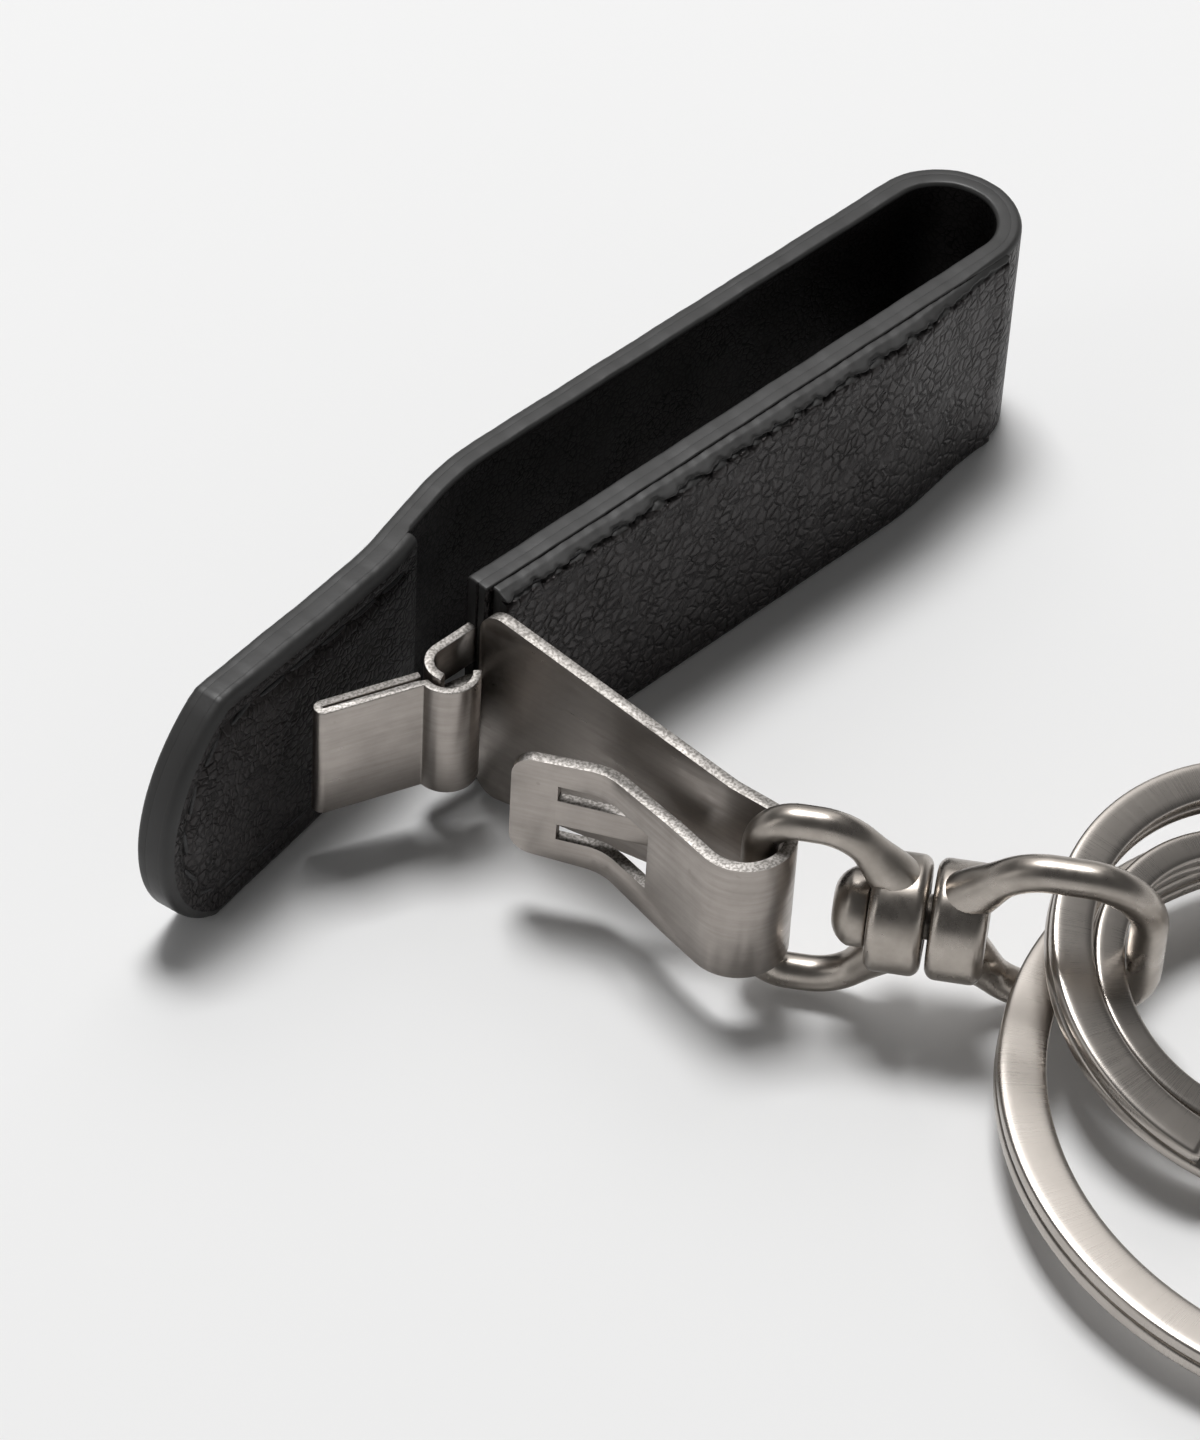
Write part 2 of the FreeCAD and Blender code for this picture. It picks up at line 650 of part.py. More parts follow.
pieces = [strap_outer, strap_lining, front_panel, tongue_facing, anchor, hinge_pin, gate, hook, spring,
          hook_eye, ring_eye, rivet] + rings
os.makedirs("parts", exist_ok=True)
for piece in pieces:
    shape = piece.Shape
    bad = "Invalid" in piece.State or "Error" in piece.State
    if bad or shape.isNull() or not shape.isValid() or len(shape.Solids) != 1:
        raise RuntimeError("%s did not build as one sound solid (%d)" % (piece.Label, len(shape.Solids)))
    shape.exportStep("parts/%s.step" % piece.Label)
    box = shape.BoundBox
    print("%-14s %8.1f mm3  x %.2f..%.2f  y %.2f..%.2f  z %.2f..%.2f" % (
        piece.Label, shape.Volume, box.XMin, box.XMax, box.YMin, box.YMax, box.ZMin, box.ZMax))
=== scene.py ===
import bpy
import bmesh
import math
import numpy as np
from mathutils import Matrix, Vector


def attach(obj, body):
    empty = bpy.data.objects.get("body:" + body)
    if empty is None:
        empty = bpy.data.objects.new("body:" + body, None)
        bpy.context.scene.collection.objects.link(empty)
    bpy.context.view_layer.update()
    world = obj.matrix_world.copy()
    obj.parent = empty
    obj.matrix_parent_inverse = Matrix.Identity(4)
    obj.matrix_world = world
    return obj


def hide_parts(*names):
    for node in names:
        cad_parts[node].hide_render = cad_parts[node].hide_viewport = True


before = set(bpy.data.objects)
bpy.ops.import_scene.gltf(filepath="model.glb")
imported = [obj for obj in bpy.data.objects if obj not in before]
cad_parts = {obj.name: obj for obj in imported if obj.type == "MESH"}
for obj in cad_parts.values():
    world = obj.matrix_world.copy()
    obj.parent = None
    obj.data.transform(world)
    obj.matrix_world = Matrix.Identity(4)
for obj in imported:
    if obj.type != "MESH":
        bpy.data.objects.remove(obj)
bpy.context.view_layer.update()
mm = 0.001
print("frame loaded")


# Node helpers

noiseBand = (0.3, 0.7)  # where most of a noise's values lie
mixFirst, mixSecond, mixResult = 6, 7, 2  # sockets of a mix of two colours


def newMaterial(name, colour, metallic, roughness):
    mat = bpy.data.materials.new(name)
    mat.use_nodes = True
    shader = mat.node_tree.nodes["Principled BSDF"]
    shader.inputs["Base Color"].default_value = (*colour, 1)
    shader.inputs["Metallic"].default_value = metallic
    shader.inputs["Roughness"].default_value = roughness
    return mat, mat.node_tree, shader


def addNode(tree, kind, values=None, **settings):
    node = tree.nodes.new(kind)
    for key, value in settings.items():
        setattr(node, key, value)
    for key, value in (values or {}).items():
        if isinstance(value, bpy.types.NodeSocket):
            tree.links.new(value, node.inputs[key])
        else:
            node.inputs[key].default_value = value
    return node


def objectSpot(tree, scale=(1, 1, 1)):
    coord = addNode(tree, "ShaderNodeTexCoord")
    values = {"Vector": coord.outputs["Object"], "Scale": scale}
    return addNode(tree, "ShaderNodeMapping", values).outputs["Vector"]


def noise(tree, spot, scale, detail=2.0, rough=0.5):
    values = {"Vector": spot, "Scale": scale, "Detail": detail, "Roughness": rough}
    return addNode(tree, "ShaderNodeTexNoise", values).outputs["Fac"]


def spread(tree, source, low, high, toLow, toHigh, curve="LINEAR"):
    values = {"Value": source, "From Min": low, "From Max": high, "To Min": toLow, "To Max": toHigh}
    return addNode(tree, "ShaderNodeMapRange", values, interpolation_type=curve).outputs["Result"]


def ramp(tree, source, band):
    return spread(tree, source, *band, 0.0, 1.0)


def around(middle, swing):
    return middle + swing[0], middle + swing[1]


def combine(tree, kind, first, second):
    return addNode(tree, "ShaderNodeMath", {0: first, 1: second}, operation=kind).outputs["Value"]


def combineVectors(tree, kind, first, second):
    return addNode(tree, "ShaderNodeVectorMath", {0: first, 1: second}, operation=kind).outputs["Vector"]


def tint(tree, factor, first, second):
    values = {"Factor": factor}
    for key, colour in ((mixFirst, first), (mixSecond, second)):
        values[key] = colour if isinstance(colour, bpy.types.NodeSocket) else (*colour, 1)
    return addNode(tree, "ShaderNodeMix", values, data_type="RGBA").outputs[mixResult]


def bump(tree, shader, height, depth):
    node = addNode(tree, "ShaderNodeBump", {"Height": height, "Distance": depth, "Strength": 1.0})
    tree.links.new(node.outputs["Normal"], shader.inputs["Normal"])


# Finishes

# Pebbled leather: cells drawn out of true by a drift, domed between soft creases, with painted shade
# darkening their cracks and less shine in them, and fine pores all over. In patches of the hide the domes are
# lower and the cracks fainter.
def grainLeather(name, look):
    mat, tree, shader = newMaterial(name, look["colour"], 0.0, look["roughness"])
    spot = objectSpot(tree)
    drift = addNode(tree, "ShaderNodeTexNoise", {"Vector": spot, "Scale": look["driftScale"], "Detail": 2.0})
    moved = combineVectors(tree, "SUBTRACT", drift.outputs["Color"], (0.5, 0.5, 0.5))  # about its mean
    carried = addNode(tree, "ShaderNodeVectorMath", {0: moved, "Scale": look["drift"]}, operation="SCALE")
    warped = combineVectors(tree, "ADD", carried.outputs["Vector"], spot)
    cells = addNode(tree, "ShaderNodeTexVoronoi", {"Vector": warped, "Scale": 1.0 / look["pebble"]},
                    feature="DISTANCE_TO_EDGE").outputs["Distance"]
    pebbles = spread(tree, cells, 0.0, look["crease"], 0.0, 1.0, "SMOOTHSTEP")
    cracks = ramp(tree, cells, (0.0, look["crack"]))
    patches = noise(tree, spot, look["patchScale"])
    domes = combine(tree, "MULTIPLY", pebbles, spread(tree, patches, *look["patchBand"], *look["domes"]))
    pores = combine(tree, "MULTIPLY", noise(tree, spot, 1.0 / look["pore"], detail=3.0), look["poreShare"])
    bump(tree, shader, combine(tree, "ADD", domes, pores), look["depth"])
    cloud = noise(tree, spot, look["cloudScale"], detail=3.0)
    rough = spread(tree, cloud, *noiseBand, *around(look["roughness"], look["cloudSwing"]))
    rubbed = combine(tree, "MULTIPLY", pebbles, look["rubbed"])
    tree.links.new(combine(tree, "SUBTRACT", rough, rubbed), shader.inputs["Roughness"])
    # Painted shade: the base colour darkens towards each cell's edge, standing in for shade in the cracks.
    crackShadeColour = [c * look["crackShade"] for c in look["colour"]]
    tree.links.new(tint(tree, cracks, crackShadeColour, look["colour"]), shader.inputs["Base Color"])
    faint = spread(tree, patches, *look["patchBand"], *look["faint"])
    glint = combine(tree, "MAXIMUM", cracks, faint)
    tree.links.new(spread(tree, glint, 0.0, 1.0, 0.0, look["shine"]), shader.inputs["Specular IOR Level"])
    shader.inputs["Specular Tint"].default_value = (*look["shineTint"], 1)
    return mat


# crackShade scales the colour down in the cracks: painted shade.
leatherLook = {"colour": (0.0064, 0.0059, 0.0059), "roughness": 0.46, "cloudScale": 140.0,
               "cloudSwing": (0.06, -0.06), "pebble": 0.92 * mm, "depth": 0.13 * mm, "rubbed": 0.05,
               "crease": 0.24, "crack": 0.08, "crackShade": 0.45, "driftScale": 1100.0, "drift": 0.7 * mm,
               "patchScale": 420.0, "patchBand": (0.35, 0.65), "domes": (0.45, 1.0), "faint": (0.85, 0.3),
               "pore": 0.16 * mm, "poreShare": 0.2, "shine": 0.39, "shineTint": (1.0, 0.91, 0.9)}
facingLook = dict(leatherLook, pebble=0.66 * mm, depth=0.07 * mm, colour=(0.0052, 0.0047, 0.0047))
liningLook = dict(leatherLook, pebble=0.5 * mm, depth=0.02 * mm, colour=(0.0062, 0.0058, 0.0058),
                  roughness=0.58, shine=0.25)


# Edge paint: lumpy with fine grit in it, paler and rougher in clouds.
def paintedEdge(name, look):
    mat, tree, shader = newMaterial(name, look["colour"], 0.0, look["roughness"])
    spot = objectSpot(tree)
    grit = combine(tree, "MULTIPLY", noise(tree, spot, look["gritScale"]), look["gritShare"])
    lumps = noise(tree, spot, look["lumpScale"], detail=3.0)
    bump(tree, shader, combine(tree, "ADD", lumps, grit), look["depth"])
    cloud = noise(tree, spot, look["cloudScale"], detail=3.0)
    rough = spread(tree, cloud, *noiseBand, *around(look["roughness"], look["cloudSwing"]))
    tree.links.new(rough, shader.inputs["Roughness"])
    pale = [c * look["pale"] for c in look["colour"]]
    clouded = tint(tree, ramp(tree, cloud, look["paleBand"]), look["colour"], pale)
    tree.links.new(clouded, shader.inputs["Base Color"])
    return mat


edgeLook = {"colour": (0.0195, 0.019, 0.0186), "pale": 1.35, "paleBand": (0.35, 0.7), "roughness": 0.5,
            "cloudScale": 260.0, "cloudSwing": (-0.08, 0.1), "lumpScale": 700.0, "gritScale": 3200.0,
            "gritShare": 0.35, "depth": 0.02 * mm}


# Satin sheet: brushed, stained in streaks and specks. What looks up or down is a sheared edge of the standing
# strips, coarser and with sparks in it.
def satinSheet(name, look):
    mat, tree, shader = newMaterial(name, look["colour"], 1.0, look["roughness"])
    lines = noise(tree, objectSpot(tree, look["brush"]), 1.0, detail=3.0, rough=0.6)
    mottle = noise(tree, objectSpot(tree), look["mottleScale"], detail=4.0, rough=0.6)
    sparks = noise(tree, objectSpot(tree), look["sparkScale"])
    coord = addNode(tree, "ShaderNodeTexCoord")
    normal = addNode(tree, "ShaderNodeSeparateXYZ", {0: coord.outputs["Normal"]})
    upright = addNode(tree, "ShaderNodeMath", {0: normal.outputs["Z"]}, operation="ABSOLUTE").outputs["Value"]
    sheared = ramp(tree, upright, look["shearedBand"])
    brushed = spread(tree, lines, *noiseBand, *around(look["roughness"], look["lineSwing"]))
    rough = combine(tree, "ADD", brushed, spread(tree, mottle, *look["mottleBand"], *look["mottleSwing"]))
    coarse = combine(tree, "ADD", rough, combine(tree, "MULTIPLY", sheared, look["shearedRough"]))
    tree.links.new(coarse, shader.inputs["Roughness"])
    dots = noise(tree, objectSpot(tree), look["speckScale"], detail=1.0)
    specks = spread(tree, dots, *look["speckBand"], 0.0, look["speckShare"])
    streaks = combine(tree, "MULTIPLY", combine(tree, "ADD", mottle, lines), 0.5)  # the mean of both
    stain = combine(tree, "ADD", ramp(tree, streaks, look["stainBand"]), specks)
    face = tint(tree, stain, look["colour"], look["dull"])
    cut = tint(tree, ramp(tree, sparks, look["sparkBand"]), look["grain"], look["bright"])
    tree.links.new(tint(tree, sheared, face, cut), shader.inputs["Base Color"])
    grit = combine(tree, "MULTIPLY", sparks, combine(tree, "MULTIPLY", sheared, look["grit"]))
    bump(tree, shader, combine(tree, "ADD", lines, grit), look["depth"])
    return mat


sheetLook = {"colour": (0.4, 0.364, 0.336), "dull": (0.325, 0.295, 0.27), "stainBand": (0.38, 0.66),
             "roughness": 0.34, "brush": (190.0, 190.0, 2600.0), "lineSwing": (-0.05, 0.07),
             "mottleScale": 420.0, "mottleBand": (0.35, 0.75), "mottleSwing": (-0.03, 0.06),
             "speckScale": 760.0, "speckBand": (0.74, 0.77), "speckShare": 0.7, "depth": 0.003 * mm,
             "shearedBand": (0.55, 0.85), "shearedRough": 0.2, "grit": 4.0, "sparkScale": 5200.0,
             "sparkBand": (0.4, 0.6), "bright": (0.42, 0.4, 0.38), "grain": (0.2, 0.187, 0.175)}


# Worn nickel: finely brushed, dull and rough in clouds.
def wornNickel(name, look):
    mat, tree, shader = newMaterial(name, look["colour"], 1.0, look["roughness"])
    cloud = noise(tree, objectSpot(tree), look["cloudScale"], detail=4.0, rough=0.6)
    hair = noise(tree, objectSpot(tree, look["brush"]), 1.0, detail=3.0, rough=0.6)
    dulled = spread(tree, cloud, *look["cloudBand"], *around(look["roughness"], look["cloudSwing"]))
    rough = combine(tree, "ADD", dulled, spread(tree, hair, *noiseBand, *look["hairSwing"]))
    tree.links.new(rough, shader.inputs["Roughness"])
    clouded = tint(tree, ramp(tree, cloud, look["dullBand"]), look["colour"], look["dull"])
    tree.links.new(clouded, shader.inputs["Base Color"])
    worn = combine(tree, "MULTIPLY", cloud, look["cloudShare"])
    bump(tree, shader, combine(tree, "ADD", hair, worn), look["depth"])
    return mat


nickelLook = {"colour": (0.45, 0.41, 0.37), "dull": (0.33, 0.298, 0.265), "dullBand": (0.35, 0.75),
              "roughness": 0.28, "cloudScale": 380.0, "cloudBand": (0.3, 0.72), "cloudSwing": (-0.05, 0.09),
              "brush": (1500.0, 1500.0, 900.0), "hairSwing": (-0.02, 0.04), "cloudShare": 0.8,
              "depth": 0.002 * mm}
pinLook = dict(nickelLook, roughness=0.36, colour=(0.2, 0.19, 0.17), dull=(0.12, 0.11, 0.1))


# Flat ring wire is brushed across its band: the noise is stretched along the radius, about the ring's middle.
def brushedRing(name, look):
    mat, tree, shader = newMaterial(name, look["colour"], 1.0, look["roughness"])
    coord = addNode(tree, "ShaderNodeTexCoord")
    away = combineVectors(tree, "SUBTRACT", coord.outputs["Object"], look["middle"])
    split = addNode(tree, "ShaderNodeSeparateXYZ", {0: away})
    angle = combine(tree, "ARCTAN2", split.outputs["Y"], split.outputs["X"])
    reach = addNode(tree, "ShaderNodeVectorMath", {0: away}, operation="LENGTH").outputs["Value"]
    polar = addNode(tree, "ShaderNodeCombineXYZ", {
        "X": combine(tree, "MULTIPLY", angle, look["roundScale"]),
        "Y": combine(tree, "MULTIPLY", reach, look["bandScale"]),
        "Z": combine(tree, "MULTIPLY", split.outputs["Z"], look["heightScale"])})
    hair = noise(tree, polar.outputs["Vector"], 1.0, detail=3.0, rough=0.65)
    cloud = noise(tree, objectSpot(tree), look["cloudScale"], detail=4.0, rough=0.6)
    brushed = spread(tree, hair, *noiseBand, *around(look["roughness"], look["hairSwing"]))
    rough = combine(tree, "ADD", brushed, spread(tree, cloud, *look["cloudBand"], *look["cloudSwing"]))
    tree.links.new(rough, shader.inputs["Roughness"])
    clouded = tint(tree, ramp(tree, cloud, look["dullBand"]), look["colour"], look["dull"])
    tree.links.new(clouded, shader.inputs["Base Color"])
    bump(tree, shader, hair, look["depth"])
    return mat


ringLook = {"colour": (0.51, 0.473, 0.437), "dull": (0.43, 0.397, 0.364), "dullBand": (0.3, 0.75),
            "roughness": 0.29, "roundScale": 420.0, "bandScale": 120.0, "heightScale": 300.0,
            "hairSwing": (-0.025, 0.03), "cloudScale": 260.0, "cloudBand": (0.35, 0.75),
            "cloudSwing": (-0.02, 0.03), "depth": 0.0005 * mm}


def twistedThread(name, look):
    mat, tree, shader = newMaterial(name, look["colour"], 0.0, look["roughness"])
    twist = noise(tree, objectSpot(tree), look["twistScale"])
    bump(tree, shader, twist, look["depth"])
    rough = spread(tree, twist, *noiseBand, *around(look["roughness"], look["twistSwing"]))
    tree.links.new(rough, shader.inputs["Roughness"])
    return mat


threadLook = {"colour": (0.012, 0.012, 0.0125), "roughness": 0.55, "twistScale": 5200.0,
              "twistSwing": (-0.13, 0.11), "depth": 0.05 * mm}

leather = grainLeather("pebbleLeather", leatherLook)
facingLeather = grainLeather("facingLeather", facingLook)
lining = grainLeather("liningLeather", liningLook)
edgePaint = paintedEdge("edgePaint", edgeLook)
sheetSteel = satinSheet("satinSheet", sheetLook)
pinSteel = wornNickel("pinSteel", pinLook)
nickel = wornNickel("wornNickel", nickelLook)
thread = twistedThread("waxedThread", threadLook)
print("finishes ready")


# Paths and strips, in mm

def unit(rows):
    return rows / np.linalg.norm(rows, axis=-1, keepdims=True)


def runAlong(line):
    return np.concatenate([[0], np.cumsum(np.linalg.norm(np.diff(line, axis=0), axis=1))])


# Smooth step from 0 at low to 1 at high: 3 t ^ 2 - 2 t ^ 3.
def easeIn(value, low, high):
    t = np.clip((value - low) / (high - low), 0, 1)
    return t * t * (3 - 2 * t)


def partly(least, share):
    return least + (1 - least) * share


# A rounded ridge at distance 0: height * exp(-(distance / width) ^ 2).
def ridge(distance, height, width):
    return height * np.exp(-(distance / width) ** 2)


# Sum of size * sin(rate * s + phase) over the waves.
def waveSum(s, waves):
    return sum(size * np.sin(s * rate + phase) for size, rate, phase in waves)


# Straight runs joined by arcs: a corner (x, y, radius) is cut back by radius * tan(turn / 2) on both runs,
# and an arc of that radius fills it.
def roundedPath(corners, arcSteps=36):
    sameSpot = 1e-6
    spots = np.array([c[:2] for c in corners], float)
    ways = unit(np.diff(spots, axis=0))
    headings = np.unwrap(np.arctan2(ways[:, 1], ways[:, 0]))
    lines = [spots[:1]]
    angles = [headings[:1]]
    for k in range(1, len(spots) - 1):
        radius, first = corners[k][2], headings[k - 1]
        turn = headings[k] - first
        start = spots[k] - ways[k - 1] * radius * math.tan(abs(turn) / 2)
        heading = first + turn * np.linspace(0, 1, arcSteps)
        bend = np.stack([np.sin(heading) - math.sin(first), math.cos(first) - np.cos(heading)], 1)
        lines.append(start + math.copysign(radius, turn) * bend)
        angles.append(heading)
    line = np.concatenate(lines + [spots[-1:]])
    angle = np.concatenate(angles + [headings[-1:]])
    keep = np.diff(runAlong(line), prepend=-1.0) > sameSpot
    run = runAlong(line[keep])
    return {"line": line[keep], "angle": angle[keep], "run": run, "length": run[-1]}


# A place on a strip is (s along its path, z over the floor, a to the left of the path): the path's point at s
# plus a times the left normal there, carried on straight beyond the path's ends.
def carry(path, s, z, a):
    inside = np.clip(s, 0, path["length"])
    angle = np.interp(inside, path["run"], path["angle"])
    x = np.interp(inside, path["run"], path["line"][:, 0]) + (s - inside) * np.cos(angle) - a * np.sin(angle)
    y = np.interp(inside, path["run"], path["line"][:, 1]) + (s - inside) * np.sin(angle) + a * np.cos(angle)
    return np.stack([x, y, np.broadcast_to(z, x.shape)], -1)


def makePiece(name, verts, faces, mats, faceMats=None):
    weldReach = 1e-7
    mesh = bpy.data.meshes.new(name)
    mesh.from_pydata(np.asarray(verts).reshape(-1, 3) * mm, [], faces)
    for mat in mats:
        mesh.materials.append(mat)
    if faceMats is not None:
        mesh.polygons.foreach_set("material_index", np.asarray(faceMats, np.int32))
    mesh.polygons.foreach_set("use_smooth", np.ones(len(mesh.polygons), bool))
    bm = bmesh.new()
    bm.from_mesh(mesh)
    bmesh.ops.remove_doubles(bm, verts=bm.verts, dist=weldReach)
    bmesh.ops.recalc_face_normals(bm, faces=bm.faces)
    bm.to_mesh(mesh)
    bm.free()
    piece = bpy.data.objects.new(name, mesh)
    bpy.context.scene.collection.objects.link(piece)
    return piece


# Quads between neighbouring rings of a closed grid: ring i, point j to ring i + 1, point j + 1.
def gridFaces(rings, count):
    i = np.arange(rings - 1)[:, None] * count
    j = np.arange(count)[None, :]
    k = (j + 1) % count
    quads = np.stack([i + j, i + k, i + count + k, i + count + j], -1)
    return quads.reshape(-1, 4).tolist()


def endCaps(rings, count):
    return [list(range(count)), list(range((rings - 1) * count, rings * count))]


edgeSide, nearSide, farSide = 0, 1, 2  # where a point of a strip's section lies


# Rounded box round a strip's section: two faces and two edges joined by quarter arcs of the edge's radius.
# share is 0 on the near and 1 on the far side, lift the arc's way in from that side and inset its way in from
# the outline. The faces' points stand closer towards the outline: t / 2 + sin(pi * t / 2) / 2.
def stripSection(nearCount, farCount, arc):
    def face(count):
        even = np.linspace(-1, 1, count)
        return (even + np.sin(even * math.pi / 2)) / 2
    turn = np.linspace(0, math.pi / 2, arc + 1)[1:]
    back = turn[::-1]
    goes, comes = 1 - np.sin(turn), 1 - np.sin(back)
    near, far = np.zeros(nearCount), np.zeros(farCount)
    none, full = np.zeros(arc), np.ones(arc)
    share = np.concatenate([near, none, full, 1 + far, full, none])
    lift = np.concatenate([near, 1 - np.cos(turn), np.cos(back) - 1, far, np.cos(turn) - 1, 1 - np.cos(back)])
    inset = np.concatenate([1 + near, goes, comes, 1 + far, goes, comes])
    level = np.concatenate([face(nearCount), full, full, -face(farCount), -full, -full])
    edge = np.full(2 * arc, edgeSide)
    side = np.concatenate([nearSide + near, edge, farSide + far, edge])
    return share, lift, inset, level, side


# The rings along a strip: place on the path, half height, way drawn in at a cap, and how far the outline's
# normal points ahead and up. The strip ends square with a small rounded cap, or in an arc of radius tip.
def stripRings(path, look):
    half, cap, tip = look["width"] / 2, look["cap"], look["tip"]
    turn = np.linspace(0, math.pi / 2, look["capSteps"])
    start = cap * (1 - np.cos(turn))
    startInset = cap * (1 - np.sin(turn))
    none = np.zeros(len(turn))
    if tip:
        corner = math.asin(half / tip)
        sweep = np.linspace(corner, 0, look["tipSteps"])
        slope = abs(math.cos(path["angle"][-1]))
        run = path["length"] - tip * (1 - np.cos(sweep)) / slope
        nose, rise = np.cos(sweep), np.sin(sweep)
        nose[0], rise[0] = math.tan((math.pi / 2 - corner) / 2), 1.0
        end = (run, tip * np.sin(sweep), 0 * sweep, nose, rise)
        stop = run[0]
    else:
        end = (path["length"] - start[::-1], half + none, startInset[::-1], none, 1 + none)
        stop = path["length"] - cap
    middle = np.linspace(start[-1], stop, int((stop - start[-1]) / look["step"]) + 2)[1:-1]
    flat = np.zeros(len(middle))
    begin = (start, half + none, startInset, none, 1 + none)
    parts = zip(begin, (middle, half + flat, flat, flat, 1 + flat), end)
    return [np.concatenate(part)[:, None] for part in parts]


# One strip, of leather or sheet: the rounded section carried along the rings of its path. relief draws the
# faces in and out, skive thins the near side along s, and the edges wobble by a few waves. From sealed on the
# far edge is sharp, and up to covered the near edge is tighter, where the next layer lies against it. lip is
# how far the upper edge's paint reaches down the near face.
def stripPiece(name, path, look, mats, relief=None):
    half = look["width"] / 2
    run, height, drawn, nose, rise = stripRings(path, look)
    section = stripSection(*look["across"], look["edgeSteps"])
    share, lift, inset, level, side = (part[None, :] for part in section)
    nearEdge, farEdge = look["nearEdge"], look["farEdge"]
    if look["sealed"]:
        farEdge = farEdge * (1 - easeIn(run, *look["sealed"]))
    if look["covered"]:
        nearEdge = nearEdge * partly(look["coveredEdge"], easeIn(run, *look["covered"]))
    radius = np.maximum(nearEdge * (1 - share) + farEdge * share - drawn, look["leastEdge"])
    a = (look["near"] + drawn) * (1 - share) + (look["far"] - drawn) * share + radius * lift
    s = run - nose * radius * inset
    z = look["low"] + half + level * (height - drawn - rise * radius * inset)
    wobble = look["wobble"] * waveSum(s + look["shift"], look["waves"])
    z = z + wobble * (side == edgeSide) * np.sign(level)
    if relief is not None:
        a = a + relief(s, z, side)
    if look["skive"]:
        a = a + look["skiveDepth"] * easeIn(s, *look["skive"]) * (1 - share)
    if look["tip"]:
        stretch, leaned = tongueWarp(path, s, z)
        s, a = s + stretch, a + leaned
    verts = carry(path, s, z, a)
    rings, count = verts.shape[:2]
    onEdge = (side[0] == edgeSide) | (np.roll(side[0], -1) == edgeSide)
    onLip = (side[0] == nearSide) & (level[0] * half > half - look["lip"])
    caps = endCaps(rings, count)[:1 if look["tip"] else 2]
    faceMats = np.concatenate([np.tile(onEdge | onLip, rings - 1).astype(int), np.ones(len(caps), int)])
    return makePiece(name, verts, gridFaces(rings, count) + caps, mats, faceMats)


# Leather

strapLine = {"mouth": (-27.2, -3.8), "foldNear": (26.6, -3.8), "foldFar": (26.6, 3.8), "foldRadius": 3.8,
             "root": (-20.5, 3.8), "knee": (-29.5, 1.2), "tip": (-53.5, -3.1), "bend": 24.0,
             "facingTop": (-27.1, 1.893), "panelStart": (-26.6, -7.1), "panelEnd": (23.5, -7.1)}
knee = (*strapLine["knee"], strapLine["bend"])
tipEnd = (*strapLine["tip"], 0)
strapPath = roundedPath([(*strapLine["mouth"], 0), (*strapLine["foldNear"], strapLine["foldRadius"]),
                         (*strapLine["foldFar"], strapLine["foldRadius"]),
                         (*strapLine["root"], strapLine["bend"]), knee, tipEnd])
facingPath = roundedPath([(*strapLine["facingTop"], 0), knee, tipEnd])
panelPath = roundedPath([(*strapLine["panelStart"], 0), (*strapLine["panelEnd"], 0)])
facingStart = strapPath["length"] - facingPath["length"]

# What all strips share, of which each layer changes some. across counts the points over the near and far
# face, and waves are (size, rate, phase).
stripLook = {"width": 18.0, "low": 0.0, "tip": 10.0, "cap": 0.14, "nearEdge": 0.42, "farEdge": 0.01,
             "leastEdge": 0.012, "step": 0.4, "across": (70, 8), "capSteps": 5, "tipSteps": 42,
             "edgeSteps": 5, "wobble": 0.02, "waves": ((1.0, 0.9, 1.3), (0.6, 2.3, 0.0), (0.4, 5.1, 0.7)),
             "shift": 0.0, "skive": None, "sealed": None, "covered": None, "coveredEdge": 0.25, "lip": 0.0}
strapLayer = dict(stripLook, near=-1.8, far=-1.0, covered=(46.0, 51.0))
liningLayer = dict(stripLook, near=-1.0, far=0.0, across=(8, 24), nearEdge=0.01, farEdge=0.3,
                   sealed=(facingStart - 0.4, facingStart + 0.1))
facingLayer = dict(stripLook, near=0.0, far=0.8, across=(8, 90), step=0.25, nearEdge=0.01, farEdge=0.7,
                   cap=0.3, shift=facingStart)
panelLayer = dict(stripLook, near=0.0, far=1.5, across=(150, 8), step=0.12, nearEdge=0.3, tip=0, width=17.7,
                  low=0.1, skive=(38.0, 49.5), skiveDepth=1.2, lip=0.35)

# Ridges and grooves are (height, width), and In is how far inside the outline they lie.
tongueLook = {"lean": 0.8, "slant": 1.1, "warpFrom": 24.0, "warpTo": 3.0, "seamIn": 2.1,
              "groove": (0.24, 0.38), "weltIn": 1.0, "welt": (0.1, 0.55), "riseIn": 3.6, "rise": (0.08, 0.9),
              "worn": 0.4, "wornOver": (3.0, 8.0), "runIn": 2.0, "backRun": 26.0, "frontRun": 0.5,
              "pitch": 3.2, "seamLead": 1.2, "seamSteps": 60}
panelSeam = {"seamIn": 0.42, "lowerIn": 0.7, "lowerShare": 0.15, "pitch": 3.1, "pitchSway": (0.8, 0.37),
             "pinch": 0.75, "ragged": ((0.07, 1.7, 0.4), (0.05, 3.3, 1.9), (0.035, 6.1, 0.0)),
             "crease": (0.4, 0.15), "creaseSway": 0.12, "creaseWidth": 0.13,
             "pucker": (0.06, 0.14), "puckerIn": 0.7, "puckerWidth": 0.5,
             "swell": (0.1, 0.21, 1.0), "swellUp": 0.33, "swellEdge": 3.0,
             "thinPinch": 0.25, "thinRelief": 0.4}


# The tongue leans back towards its upper edge and its tip is cut a little aslant, both growing along it.
def tongueWarp(path, s, z):
    grown = easeIn(s, path["length"] - tongueLook["warpFrom"], path["length"] - tongueLook["warpTo"])
    up = z / stripLook["width"]
    return grown * tongueLook["slant"] * (1 - 2 * up), -grown * tongueLook["lean"] * up


# How far a place on the tongue lies inside its outline: the nearest long edge, or the tip's arc.
def insideTongue(path, s, z):
    wide, tip = stripLook["width"], stripLook["tip"]
    straight = np.minimum(z, wide - z)
    reach = np.hypot(s - path["length"] + tip, z - wide / 2)
    return np.where(s > path["length"] - tip / 2, np.minimum(straight, tip - reach), straight)


